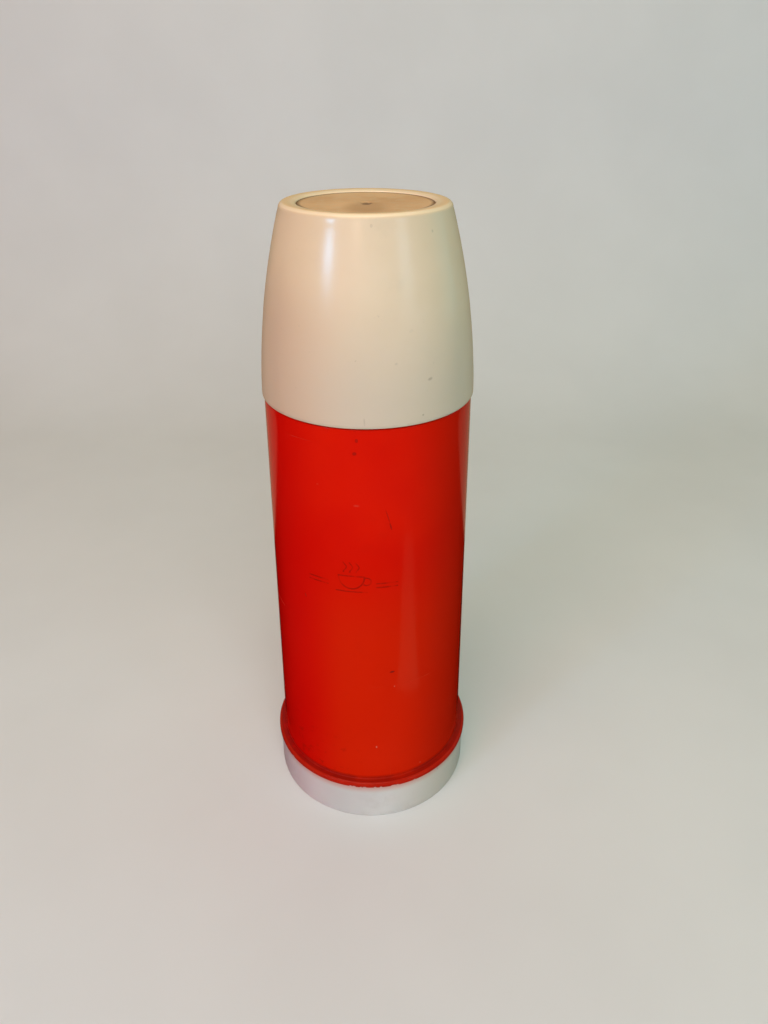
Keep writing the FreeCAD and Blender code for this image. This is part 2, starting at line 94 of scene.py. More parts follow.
# ---------------------------------------------------------------- outlines
def rounded_outline(corners, spacing=2.0):
    """Section points through (radius, height, rounding) corners, closed back to the first.
    A fourth number spaces the points of the run that leaves its corner."""
    points = [np.array(c[:2], float) for c in corners]
    count = len(points)
    path = []
    gaps = []
    for index, corner in enumerate(corners):
        here = points[index]
        back = points[index - 1] - here
        on = points[(index + 1) % count] - here
        rounding = corner[2] if len(corner) > 2 else 0
        gap = corner[3] if len(corner) > 3 else spacing
        if rounding == 0:
            path.append(here)
            gaps.append(gap)
            continue
        back /= np.linalg.norm(back)
        on /= np.linalg.norm(on)
        half = math.acos(np.clip(back @ on, -1, 1)) / 2
        reach = rounding / math.tan(half)
        middle = (back + on) / np.linalg.norm(back + on)
        centre = here + middle * rounding / math.sin(half)
        start = here + back * reach - centre
        sweep = math.pi - 2 * half
        end = here + on * reach - centre
        side = 1 if start[0] * end[1] - start[1] * end[0] > 0 else -1
        steps = max(3, round(sweep / math.radians(12)))
        for step in range(steps + 1):
            angle = side * sweep * step / steps
            turned = np.array(
                [
                    start[0] * math.cos(angle) - start[1] * math.sin(angle),
                    start[0] * math.sin(angle) + start[1] * math.cos(angle),
                ]
            )
            path.append(centre + turned)
            gaps.append(gap)
    return spaced(path, gaps)


def spaced(path, gaps):
    """Adds points so that no step of the closed section is longer than its run's gap."""
    out = []
    for index, here in enumerate(path):
        there = path[(index + 1) % len(path)]
        if here[0] < 1e-6 and there[0] < 1e-6:
            out.append(here)
            continue
        steps = max(1, math.ceil(np.linalg.norm(there - here) / gaps[index]))
        for step in range(steps):
            out.append(here + (there - here) * step / steps)
    return out


def arc_through(start, middle, end, count):
    """Points of the arc through three (radius, height) points, ends included."""
    (ax, ay), (bx, by), (cx, cy) = start, middle, end
    d = 2 * (ax * (by - cy) + bx * (cy - ay) + cx * (ay - by))
    a2, b2, c2 = ax * ax + ay * ay, bx * bx + by * by, cx * cx + cy * cy
    centre_x = (a2 * (by - cy) + b2 * (cy - ay) + c2 * (ay - by)) / d
    centre_y = (a2 * (cx - bx) + b2 * (ax - cx) + c2 * (bx - ax)) / d
    radius = math.hypot(ax - centre_x, ay - centre_y)
    first = math.atan2(ay - centre_y, ax - centre_x)
    last = math.atan2(cy - centre_y, cx - centre_x)
    points = []
    for angle in np.linspace(first, last, count):
        points.append((centre_x + radius * math.cos(angle), centre_y + radius * math.sin(angle)))
    return points


# ---------------------------------------------------------------- meshes
def lathe(name, outline, segments=384, shape=None, marks=None):
    """A closed turned mesh of a section of (radius, height) points in millimetres.
    shape(angle, radius, height) returns moved radii and heights; marks(angle, radius,
    height) returns a number for each point, kept on the mesh for its material."""
    section = np.array([tuple(p) for p in outline], float)
    angles = np.arange(segments) * TURN / segments
    on_axis = section[:, 0] < 1e-6
    radius = np.repeat(section[:, 0][:, None], segments, axis=1)
    height = np.repeat(section[:, 1][:, None], segments, axis=1)
    angle = np.repeat(angles[None, :], len(section), axis=0)
    if shape is not None:
        radius, height = shape(angle, radius, height)
    points = []
    index = np.zeros(radius.shape, int)
    values = []
    worth = marks(angle, radius, height) if marks is not None else np.zeros(radius.shape)
    for row in range(len(section)):
        if on_axis[row]:
            index[row] = len(points)
            points.append((0.0, 0.0, height[row, 0] * MM))
            values.append(worth[row, 0])
            continue
        index[row] = len(points) + np.arange(segments)
        for column in range(segments):
            r = radius[row, column] * MM
            a = angle[row, column]
            points.append((r * math.sin(a), -r * math.cos(a), height[row, column] * MM))
            values.append(worth[row, column])
    faces = []
    for row in range(len(section)):
        below = (row + 1) % len(section)
        if on_axis[row] and on_axis[below]:
            continue
        for column in range(segments):
            beside = (column + 1) % segments
            face = [index[row, column], index[row, beside], index[below, beside], index[below, column]]
            if on_axis[row]:
                face = [face[0], face[2], face[3]]
            elif on_axis[below]:
                face = [face[0], face[1], face[2]]
            faces.append([int(v) for v in face])
    mesh = bpy.data.meshes.new(name)
    mesh.from_pydata(points, [], faces)
    layer = mesh.attributes.new("wear", "FLOAT", "POINT")
    layer.data.foreach_set("value", np.array(values, np.float32))
    obj = bpy.data.objects.new(name, mesh)
    bpy.context.scene.collection.objects.link(obj)
    face_outward(mesh)
    mesh.shade_smooth()
    return obj


def face_outward(mesh):
    """Turns the faces of a closed mesh so that its volume is positive."""
    mesh.calc_loop_triangles()
    corners = np.empty(len(mesh.loop_triangles) * 3, np.int32)
    mesh.loop_triangles.foreach_get("vertices", corners)
    places = np.empty(len(mesh.vertices) * 3, np.float32)
    mesh.vertices.foreach_get("co", places)
    a, b, c = places.reshape(-1, 3)[corners.reshape(-1, 3)].astype(float).transpose(1, 0, 2)
    if np.einsum("ij,ij->i", a, np.cross(b, c)).sum() < 0:
        mesh.flip_normals()


def smooth_step(value, low, high):
    """Eases from 0 to 1 as value goes from low to high."""
    share = np.clip((value - low) / (high - low), 0, 1)
    return share * share * (3 - 2 * share)


def ridge_height(angle, height, start_z, turns):
    """Height of a right-handed thread ridge over its wall at each point, 0 off the thread.
    The ridge starts at +X, where the model's own thread starts."""
    turned = (angle - TURN / 4) / TURN % 1.0
    along = (height - start_z) / LEAD
    whole = np.round(along - turned)
    offset = np.abs(along - turned - whole) * LEAD
    position = whole + turned
    flank = (RIDGE_ROOT - RIDGE_CREST) / 2
    rise = np.clip((RIDGE_ROOT / 2 - offset) / flank, 0, 1)
    ends = smooth_step(position, 0, RUN_OUT) * smooth_step(turns - position, 0, RUN_OUT)
    return RIDGE_HEIGHT * rise * ends


def ripple(angle, height, seed, size):
    """Slow unevenness of a moulding, in millimetres, from a few seeded waves."""
    random = np.random.default_rng(seed)
    total = np.zeros_like(angle)
    for _ in range(6):
        around = random.integers(2, 7)
        upward = random.uniform(-0.06, 0.06)
        total += np.sin(around * angle + upward * height + random.uniform(0, TURN))
    return total * size / 6


# ---------------------------------------------------------------- material nodes
class Shader:
    """A procedural material, built one node at a time."""

    def __init__(self, name):
        self.material = bpy.data.materials.new(name)
        self.material.use_nodes = True
        self.tree = self.material.node_tree
        self.tree.nodes.clear()
        self.place = self.new("TexCoord", out="Object")

    def new(self, kind, inputs=None, out=0, **settings):
        made = self.tree.nodes.new("ShaderNode" + kind)
        for key, value in settings.items():
            setattr(made, key, value)
        for key, value in (inputs or {}).items():
            if isinstance(value, bpy.types.NodeSocket):
                self.tree.links.new(value, made.inputs[key])
            else:
                made.inputs[key].default_value = value
        return made.outputs[out] if len(made.outputs) else None

    def math(self, operation, a, b=0.0, clamp=False):
        return self.new("Math", {0: a, 1: b}, operation=operation, use_clamp=clamp)

    def times(self, a, b):
        return self.math("MULTIPLY", a, b)

    def length(self, a, b):
        """Length of the vector (a, b)."""
        squares = self.math("ADD", self.math("POWER", a, 2.0), self.math("POWER", b, 2.0))
        return self.math("SQRT", squares)

    def stretched(self, scale):
        return self.new("Mapping", {"Vector": self.place, "Scale": scale})

    def noise(self, scale, detail=3.0, roughness=0.55, vector=None, distortion=0.0):
        inputs = {"Vector": vector or self.place, "Scale": scale, "Detail": detail}
        inputs.update({"Roughness": roughness, "Distortion": distortion})
        return self.new("TexNoise", inputs, out="Fac")

    def between(self, value, low, high, bottom=0.0, top=1.0):
        """Eases from bottom to top as value goes from low to high."""
        inputs = {"Value": value, "From Min": low, "From Max": high, "To Min": bottom, "To Max": top}
        return self.new("MapRange", inputs, interpolation_type="SMOOTHSTEP")

    def mix(self, share, a, b):
        return self.new("Mix", {0: share, 6: a, 7: b}, out=2, data_type="RGBA")

    def bump(self, height, distance, strength=1.0, normal=None):
        inputs = {"Height": height, "Distance": distance, "Strength": strength}
        if normal is not None:
            inputs["Normal"] = normal
        return self.new("Bump", inputs)

    def axes(self):
        """Sockets of the point's x, y and z in the model's frame."""
        split = self.new("SeparateXYZ", {0: self.place}).node
        return split.outputs

    def around(self, radius):
        """The point on an unrolled cylinder, in millimetres: across from the front, up, 0."""
        x, y, z = self.axes()
        bearing = self.new("Math", {0: x, 1: self.times(y, -1.0)}, operation="ARCTAN2")
        across = self.times(bearing, radius)
        up = self.times(z, 1 / MM)
        return self.new("CombineXYZ", {0: across, 1: up})

    def spots(self, flat, marks, radius):
        """How much of a mark covers the point. Each mark is (degrees from the front,
        height, half width, half length, tilt in degrees, strength)."""
        total = None
        for degrees, height, half_width, half_length, tilt, strength in marks:
            centre = (math.radians(degrees) * radius, height, 0)
            moved = self.new("VectorMath", {0: flat, 1: centre}, operation="SUBTRACT")
            inputs = {"Vector": moved, "Rotation": (0, 0, math.radians(-tilt))}
            turned = self.new("Mapping", inputs)
            scale = (1 / half_width, 1 / half_length, 1)
            scaled = self.new("VectorMath", {0: turned, 1: scale}, operation="MULTIPLY")
            distance = self.new("VectorMath", {0: scaled}, out="Value", operation="LENGTH")
            cover = self.between(distance, 1.15, 0.55, 0.0, strength)
            total = cover if total is None else self.math("MAXIMUM", total, cover)
        return total

    def wear(self):
        return self.new("Attribute", out="Fac", attribute_name="wear")

    def finish(self, colour, roughness, normal=None, **constants):
        inputs = {"Base Color": colour, "Roughness": roughness}
        if normal is not None:
            inputs["Normal"] = normal
        for key, value in constants.items():
            inputs[key.replace("_", " ")] = value
        surface = self.new("BsdfPrincipled", inputs)
        self.new("OutputMaterial", {"Surface": surface})
        return self.material


def rgb(red, green, blue):
    return (red, green, blue, 1.0)


# ---------------------------------------------------------------- materials
# Places and sizes in the materials are metres; spots and the print are in millimetres on the
# piece's unrolled side, as Shader.spots says.
CUP_MIDDLE_RADIUS = 39.0
CASE_MIDDLE_RADIUS = 41.4
SLEEVE_RADIUS = 37.0

CUP_SPOTS = [
    (33.6, 209.8, 1.1, 0.6, 10, 0.45),
    (44.1, 256.2, 0.5, 0.5, 0, 0.35),
    (4.3, 259.2, 0.6, 0.6, 0, 0.22),
    (15.3, 216.7, 0.55, 0.45, 0, 0.25),
    (23.8, 226.9, 0.9, 0.5, 20, 0.14),
    (29.2, 197.5, 0.45, 0.4, 0, 0.5),
    (-0.7, 197.0, 0.3, 1.6, 3, 0.22),
    (-118.0, 222.0, 0.8, 0.5, 30, 0.5),
    (151.0, 206.0, 0.5, 1.3, -20, 0.5),
    (-160.0, 238.0, 0.6, 0.4, 0, 0.5),
]


def cream_plastic():
    """Aged ivory plastic: satin, with painted warm light on its left, painted shade lower down,
    its up-facing rim painted paler and yellower as warm light from above with a painted
    highlight on its edge, and handling haze, specks and hairlines."""
    s = Shader("cream_plastic")
    x, _, z = s.axes()
    flat = s.around(CUP_MIDDLE_RADIUS)
    cloud = s.noise(16.0, 4.0)
    colour = s.mix(s.between(cloud, 0.38, 0.64), rgb(0.72, 0.575, 0.395), rgb(0.765, 0.615, 0.435))
    haze = s.between(s.noise(55.0, 5.0, 0.65), 0.54, 0.76, 0.0, 0.22)
    colour = s.mix(haze, colour, rgb(0.58, 0.485, 0.35))
    # Painted warm light on the cup's left side.
    painted_warm_light_left = s.between(x, 0.004, -0.030, 0.0, 0.75)
    colour = s.mix(painted_warm_light_left, colour, rgb(0.76, 0.565, 0.345))
    # Painted shade: the cup darker towards the bottom.
    painted_shade_low = s.between(z, 0.246, 0.200, 0.0, 0.8)
    colour = s.mix(painted_shade_low, colour, rgb(0.585, 0.498, 0.382))
    # More painted warm light on the cup's lower left.
    painted_warm_light_low_left = s.times(s.between(x, 0.0, -0.032, 0.0, 0.8), s.between(z, 0.250, 0.225))
    colour = s.mix(painted_warm_light_low_left, colour, rgb(0.65, 0.458, 0.30))
    # The up-facing rim painted paler and yellower: painted warm light from above.
    rim = s.between(z, 0.2609, 0.2624, 0.0, 0.95)
    colour = s.mix(rim, colour, rgb(0.92, 0.65, 0.375))
    # A painted highlight along the rim's edge.
    painted_rim_highlight = s.times(s.between(z, 0.2614, 0.2619), s.between(z, 0.26248, 0.2623))
    colour = s.mix(s.times(painted_rim_highlight, 0.9), colour, rgb(0.95, 0.75, 0.51))
    specks = s.spots(flat, CUP_SPOTS, CUP_MIDDLE_RADIUS)
    pepper = s.between(s.noise(420.0, 2.0, 0.5), 0.735, 0.80, 0.0, 0.22)
    dirt = s.math("MAXIMUM", specks, pepper)
    colour = s.mix(dirt, colour, rgb(0.20, 0.145, 0.09))
    lines = hairlines(s, (9.0, 9.0, 900.0), 0.72)
    rough = s.between(cloud, 0.3, 0.7, 0.20, 0.262)
    rough = s.math("ADD", rough, s.times(lines, 0.16))
    rough = s.math("ADD", rough, s.times(dirt, 0.25), clamp=True)
    swell = s.bump(s.noise(34.0, 2.0), 0.0005, 0.25)
    grain = s.bump(s.noise(140.0, 3.0), 0.00006, 0.35, swell)
    normal = s.bump(s.math("SUBTRACT", 0.0, s.math("ADD", lines, dirt)), 0.00008, 0.5, grain)
    return s.finish(
        colour, rough, normal,
        IOR=1.49, Specular_IOR_Level=0.5, Subsurface_Weight=0.12, Subsurface_Scale=0.003,
        Subsurface_Radius=(1.0, 0.7, 0.4),
    )


def hairlines(s, stretch, threshold):
    """Thin scratches: noise squeezed along one axis, and only its sharpest lines kept."""
    streaks = s.noise(1.0, 2.0, 0.5, s.stretched(stretch), 0.4)
    patches = s.between(s.noise(28.0, 2.0), 0.5, 0.66)
    sharp = s.between(streaks, threshold, threshold + 0.05)
    return s.times(sharp, patches)


def foot_disc_plastic():
    """The browned, dusty disc in the cup's foot: matte, mottled, with a small dark smudge at
    its middle, darker towards its front, and a dark corner round its edge painted as shade of
    the pocket's wall together with dirt."""
    s = Shader("foot_disc_plastic")
    x, y, _ = s.axes()
    cloud = s.noise(60.0, 5.0, 0.62)
    colour = s.mix(s.between(cloud, 0.30, 0.70), rgb(0.64, 0.375, 0.18), rgb(0.74, 0.465, 0.245))
    dust = s.between(s.noise(330.0, 4.0, 0.75), 0.42, 0.68, 0.0, 0.6)
    colour = s.mix(dust, colour, rgb(0.68, 0.49, 0.29))
    across = s.times(s.math("SUBTRACT", x, 0.0004), 1.7)
    # Darker towards the front of the disc.
    stain = s.between(s.length(across, s.math("ADD", y, 0.011)), 0.0165, 0.006, 0.0, 0.55)
    colour = s.mix(stain, colour, rgb(0.44, 0.24, 0.11))
    smudge = s.between(s.length(across, s.math("ADD", y, 0.0026)), 0.0042, 0.0016)
    smudge = s.times(smudge, s.between(s.noise(700.0), 0.3, 0.6))
    # Dark ring in the corner at the disc's edge: painted shade of the pocket's wall together with dirt.
    corner = s.between(s.length(x, y), 0.0222, 0.0241)
    grime_and_painted_shade = s.math("MAXIMUM", corner, smudge)
    colour = s.mix(s.times(grime_and_painted_shade, 0.85), colour, rgb(0.075, 0.035, 0.018))
    normal = s.bump(s.noise(300.0, 4.0, 0.6), 0.00012, 0.6)
    rough = s.between(cloud, 0.3, 0.7, 0.55, 0.8)
    return s.finish(colour, rough, normal, Specular_IOR_Level=0.3)


CASE_SPOTS = [
    (-4.8, 189.6, 0.65, 0.85, 0, 0.5),
    (-6.0, 184.6, 0.9, 0.75, 20, 0.55),
    (12.4, 154.6, 0.32, 1.8, 14, 0.6),
    (10.8, 159.0, 0.22, 3.2, 16, 0.45),
    (13.2, 84.3, 1.15, 0.5, 8, 0.9),
    (-38.0, 118.0, 0.35, 1.1, 20, 0.5),
    (128.0, 150.0, 0.4, 2.6, -30, 0.6),
    (-97.0, 92.0, 0.6, 0.5, 0, 0.7),
    (-150.0, 172.0, 0.3, 2.2, 40, 0.6),
    (171.0, 64.0, 0.7, 0.45, 0, 0.7),
]
PALE_SPOTS = [
    (3.8, 42.0, 0.35, 0.7, 0, 0.4),
    (14.6, 76.2, 0.3, 0.4, 0, 0.35),
    (-26.6, 170.6, 0.6, 0.35, 15, 0.1),
    (-5.5, 163.7, 1.3, 0.4, 0, 0.1),
    (32.0, 25.6, 0.3, 0.3, 0, 0.5),
    (84.0, 77.0, 0.4, 0.5, 0, 0.6),
    (-132.0, 51.0, 0.5, 0.4, 0, 0.6),
]


def red_plastic():
    """Orange-red case: glossy, with a slow drift of colour, the print, a lip darkened as painted
    shade together with dirt and with a painted highlight on its top edge, a crease above it
    darkened by grime together with painted shade, knocks, chips and scuffs."""
    s = Shader("red_plastic")
    x, y, z = s.axes()
    flat = s.around(CASE_MIDDLE_RADIUS)
    from_axis = s.length(x, y)
    colour = red_drift(s, x, z)
    colour = s.mix(faded_sign(s, flat), colour, rgb(0.17, 0.006, 0.003))
    smuts = s.times(s.between(z, 0.062, 0.028), s.between(x, 0.004, -0.020))
    smuts = s.times(smuts, s.between(s.noise(230.0, 4.0, 0.65), 0.56, 0.70, 0.0, 0.4))
    colour = s.mix(smuts, colour, rgb(0.24, 0.006, 0.002))

    # The lip painted darker: painted shade together with dirt.
    on_lip = s.times(s.between(from_axis, 0.0441, 0.0447), s.between(z, 0.0234, 0.0226))
    colour = s.mix(s.times(on_lip, 0.95), colour, rgb(0.385, 0.010, 0.004))
    # The crease above the lip painted dark: grime together with painted shade.
    crease = s.times(s.between(z, 0.0246, 0.0226), s.between(from_axis, 0.0450, 0.0443))
    grime_and_painted_shade = s.times(crease, s.between(s.noise(120.0, 4.0), 0.25, 0.6, 0.45, 1.0))
    colour = s.mix(s.times(grime_and_painted_shade, 0.62), colour, rgb(0.16, 0.004, 0.003))
    # A painted highlight, broken up by noise, along the lip's top edge.
    edge = s.times(s.between(from_axis, 0.0447, 0.0452), s.between(z, 0.0228, 0.0224))
    rub_wear_and_highlight = s.times(edge, s.between(s.noise(90.0, 4.0), 0.3, 0.6, 0.0, 0.25))
    colour = s.mix(rub_wear_and_highlight, colour, rgb(0.60, 0.030, 0.010))

    dark = s.spots(flat, CASE_SPOTS, CASE_MIDDLE_RADIUS)
    colour = s.mix(dark, colour, rgb(0.15, 0.003, 0.002))
    pale = s.spots(flat, PALE_SPOTS, CASE_MIDDLE_RADIUS)
    bare = s.math("MAXIMUM", pale, s.between(s.wear(), 0.25, 0.6))
    colour = s.mix(bare, colour, rgb(0.66, 0.30, 0.22))
    level = hairlines(s, (14.0, 14.0, 700.0), 0.71)
    upright = hairlines(s, (700.0, 700.0, 16.0), 0.71)
    scuffs = s.math("MAXIMUM", level, upright)
    colour = s.mix(s.times(scuffs, 0.12), colour, rgb(0.62, 0.07, 0.03))

    lip = s.between(z, 0.0226, 0.0216)
    body_rough = s.between(s.noise(20.0, 4.0, 0.6), 0.3, 0.7, 0.10, 0.17)
    rough = s.new("Mix", {0: lip, 2: body_rough, 3: 0.12}, data_type="FLOAT")
    rough = s.math("ADD", rough, s.times(scuffs, 0.22))
    rough = s.math("ADD", rough, s.times(s.math("MAXIMUM", dark, grime_and_painted_shade), 0.3), clamp=True)
    swell = s.bump(s.noise(26.0, 2.0), 0.0006, 0.22)
    grain = s.bump(s.noise(330.0, 3.0), 0.00003, 0.4, swell)
    pits = s.math("ADD", scuffs, s.math("MAXIMUM", dark, bare))
    normal = s.bump(s.math("SUBTRACT", 0.0, pits), 0.00012, 0.6, grain)
    return s.finish(colour, rough, normal, IOR=1.45, Specular_IOR_Level=0.12)


def red_drift(s, x, z):
    """The case's red before its marks: deeper on the left, sun-bleached low down in front,
    with painted shade on the right, and clouded all over."""
    cloud = s.noise(11.0, 3.0)
    colour = s.mix(s.between(cloud, 0.36, 0.64), rgb(0.60, 0.0045, 0.0008), rgb(0.67, 0.0095, 0.001))
    bleached = s.times(s.between(z, 0.150, 0.095, 0.0, 0.7), s.between(x, -0.034, -0.008))
    colour = s.mix(bleached, colour, rgb(0.60, 0.0165, 0.001))
    colour = s.mix(s.between(x, -0.010, -0.034, 0.0, 0.8), colour, rgb(0.59, 0.0015, 0.0004))
    # Painted shade: the case darker on its right side.
    colour = s.mix(s.between(x, 0.012, 0.036, 0.0, 0.6), colour, rgb(0.47, 0.0095, 0.001))
    dust = s.between(s.noise(90.0, 5.0, 0.68), 0.55, 0.78, 0.0, 0.10)
    return s.mix(dust, colour, rgb(0.42, 0.012, 0.004))


def faded_sign(s, flat):
    """A worn print on the front of the case: a plain steaming cup between short rules."""
    centre = (-6.5, 131.0, 0.0)
    moved = s.new("VectorMath", {0: flat, 1: centre}, operation="SUBTRACT")
    split = s.new("SeparateXYZ", {0: moved}).node
    across, up = split.outputs[0], split.outputs[1]
    sideways = s.math("ABSOLUTE", across)

    def stroke(distance, *limits):
        line = s.between(s.math("ABSOLUTE", distance), 0.40, 0.22)
        for value, outside, inside in limits:
            line = s.times(line, s.between(value, outside, inside))
        return line

    def oval(x, y, half_width, half_height):
        placed = s.new("VectorMath", {0: moved, 1: (x, y, 0)}, operation="SUBTRACT")
        scale = (1 / half_width, 1 / half_height, 1)
        scaled = s.new("VectorMath", {0: placed, 1: scale}, operation="MULTIPLY")
        length = s.new("VectorMath", {0: scaled}, out="Value", operation="LENGTH")
        return s.times(s.math("SUBTRACT", length, 1.0), (half_width + half_height) / 2)

    brim, foot = 1.6, -5.6
    strokes = [
        stroke(oval(0, brim, 5.2, 5.8), (up, brim + 0.2, brim)),
        stroke(s.math("SUBTRACT", up, brim), (sideways, 5.6, 5.4)),
        stroke(s.math("SUBTRACT", up, foot), (sideways, 6.7, 6.4)),
        stroke(oval(5.9, -0.6, 1.9, 1.7), (across, 4.6, 4.9)),
        stroke(s.math("SUBTRACT", up, -1.6), (sideways, 9.4, 9.7), (sideways, 18.6, 18.3)),
        stroke(s.math("SUBTRACT", up, -3.4), (sideways, 9.4, 9.7), (sideways, 18.6, 18.3)),
    ]
    swing = s.times(s.math("SINE", s.times(up, TURN / 4.6)), 0.6)
    for start in (-2.5, 0.0, 2.5):
        steam = s.math("SUBTRACT", s.math("SUBTRACT", across, start), swing)
        strokes.append(stroke(steam, (up, 3.0, 3.4), (up, 8.2, 7.6)))
    total = strokes[0]
    for line in strokes[1:]:
        total = s.math("MAXIMUM", total, line)
    worn = s.between(s.noise(170.0, 4.0, 0.7), 0.38, 0.60, 0.12, 0.62)
    return s.times(total, worn)


def white_plastic(name="white_plastic", tint=(0.63, 0.61, 0.57), scuffed_to=0.0035):
    """Off-white moulded plastic, greyed by handling. It is scuffed up to the height scuffed_to
    (with 0, all over), and low down, on the base, has painted pink light on its left, painted
    yellow light on its right and a painted red reflection of the case's lip under it."""
    s = Shader(name)
    x, _, z = s.axes()
    cloud = s.noise(22.0, 4.0)
    light = rgb(*[min(1.0, c * 1.07) for c in tint])
    dull = rgb(*[c * 0.93 for c in tint])
    colour = s.mix(s.between(cloud, 0.36, 0.66), dull, light)
    patches = s.between(s.noise(70.0, 5.0, 0.66), 0.54, 0.74, 0.0, 0.35)
    colour = s.mix(patches, colour, rgb(tint[0] * 0.78, tint[1] * 0.74, tint[2] * 0.68))
    low_down = s.between(z, 0.0300, 0.0250)
    # Painted warm light: the base pinker low down on its left.
    left = s.times(low_down, s.between(x, -0.010, -0.038, 0.0, 0.9))
    colour = s.mix(left, colour, rgb(0.62, 0.485, 0.475))
    # Painted light: the base yellower low down on its right.
    right = s.times(low_down, s.between(x, 0.002, 0.036, 0.0, 0.9))
    colour = s.mix(right, colour, rgb(0.59, 0.53, 0.44))
    # A painted red reflection of the case's lip on the base just under it.
    painted_red_reflection = s.times(s.between(z, 0.0150, 0.0195, 0.0, 0.7), low_down)
    colour = s.mix(painted_red_reflection, colour, rgb(0.62, 0.25, 0.18))
    foot = s.between(z, scuffed_to, 0.0004)
    rub_wear_and_highlight = s.times(foot, s.between(s.noise(160.0, 4.0, 0.7), 0.42, 0.66))
    colour = s.mix(s.times(rub_wear_and_highlight, 0.2), colour, rgb(0.36, 0.31, 0.25))
    specks = s.between(s.noise(380.0, 2.0, 0.5), 0.73, 0.80, 0.0, 0.4)
    colour = s.mix(specks, colour, rgb(0.22, 0.17, 0.12))
    lines = hairlines(s, (10.0, 10.0, 800.0), 0.69)
    rough = s.between(cloud, 0.3, 0.7, 0.38, 0.50)
    rough = s.math("ADD", rough, s.times(s.math("MAXIMUM", lines, rub_wear_and_highlight), 0.2), clamp=True)
    grain = s.bump(s.noise(240.0, 3.0), 0.00006, 0.4)
    normal = s.bump(s.math("SUBTRACT", 0.0, lines), 0.00008, 0.5, grain)
    return s.finish(
        colour, rough, normal,
        IOR=1.49, Specular_IOR_Level=0.45, Subsurface_Weight=0.08, Subsurface_Scale=0.002,
    )


def seal_rubber(name="seal_rubber", tint=(0.30, 0.075, 0.04)):
    """Aged rubber: matte, bloomed with a pale dust and finely pored."""
    s = Shader(name)
    cloud = s.noise(70.0, 5.0, 0.65)
    bloom = rgb(*[c * 0.6 + 0.10 for c in tint])
    colour = s.mix(s.between(cloud, 0.45, 0.75, 0.0, 0.6), rgb(*tint), bloom)
    rough = s.between(cloud, 0.3, 0.7, 0.62, 0.85)
    normal = s.bump(s.noise(600.0, 3.0, 0.7), 0.00008, 0.6)
    return s.finish(colour, rough, normal, Specular_IOR_Level=0.3)


def silvered_glass():
    """Blown glass silvered in its gap: a faintly hazy mirror with slow ripples and
    tea-stained bands."""
    s = Shader("silvered_glass")
    stain = s.between(s.noise(30.0, 5.0, 0.6), 0.5, 0.78, 0.0, 0.5)
    colour = s.mix(stain, rgb(0.82, 0.83, 0.82), rgb(0.52, 0.40, 0.24))
    ripples = s.noise(24.0, 2.0, 0.5, s.stretched((1.0, 1.0, 0.35)))
    normal = s.bump(ripples, 0.0008, 0.3)
    rough = s.between(stain, 0.0, 0.5, 0.05, 0.25)
    return s.finish(colour, rough, normal, Metallic=0.9, Coat_Weight=1.0, Coat_Roughness=0.03)


def cork():
    """Pressed cork: pale grains with dark pores."""
    s = Shader("cork")
    cells = s.new("TexVoronoi", {"Vector": s.place, "Scale": 420.0}, out="Distance")
    tone = s.noise(220.0, 4.0)
    colour = s.mix(s.between(tone, 0.3, 0.7), rgb(0.33, 0.19, 0.085), rgb(0.55, 0.36, 0.19))
    pores = s.between(cells, 0.55, 0.8)
    colour = s.mix(pores, colour, rgb(0.09, 0.045, 0.02))
    return s.finish(colour, s.between(tone, 0.3, 0.7, 0.75, 0.95), s.bump(cells, -0.0004, 0.8))


def packing_card():
    """Brown card sleeve with fine corrugations up its length."""
    s = Shader("packing_card")
    flat = s.around(SLEEVE_RADIUS)
    flutes = s.new("TexWave", {"Vector": flat, "Scale": 0.35, "Distortion": 0.3}, out="Fac")
    fibre = s.noise(500.0, 4.0, 0.7, s.stretched((1.0, 1.0, 0.2)))
    colour = s.mix(fibre, rgb(0.30, 0.19, 0.10), rgb(0.46, 0.32, 0.19))
    rough = s.between(fibre, 0.3, 0.7, 0.82, 0.95)
    return s.finish(colour, rough, s.bump(s.math("ADD", flutes, fibre), 0.0003, 0.6))


def packing_foam(name="packing_foam", tint=(0.62, 0.55, 0.36)):
    """Yellowed open-cell foam, or any crumbly pad of another tint."""
    s = Shader(name)
    cells = s.new("TexVoronoi", {"Vector": s.place, "Scale": 900.0}, out="Distance")
    tone = s.noise(60.0, 4.0)
    darker = rgb(*[c * 0.75 for c in tint])
    colour = s.mix(s.between(tone, 0.35, 0.65), darker, rgb(*tint))
    colour = s.mix(s.between(cells, 0.2, 0.7, 0.6, 0.0), colour, rgb(*[c * 0.4 for c in tint]))
    return s.finish(colour, s.between(tone, 0.3, 0.7, 0.85, 0.95), s.bump(cells, 0.0004, 0.9))


# ---------------------------------------------------------------- pieces
def show(piece, body, material, slot, *nodes):
    """Dresses a piece, hangs it on its body and lets it stand for its CAD nodes."""
    piece.data.materials.append(material)
    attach(piece, body)
    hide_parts(*nodes)


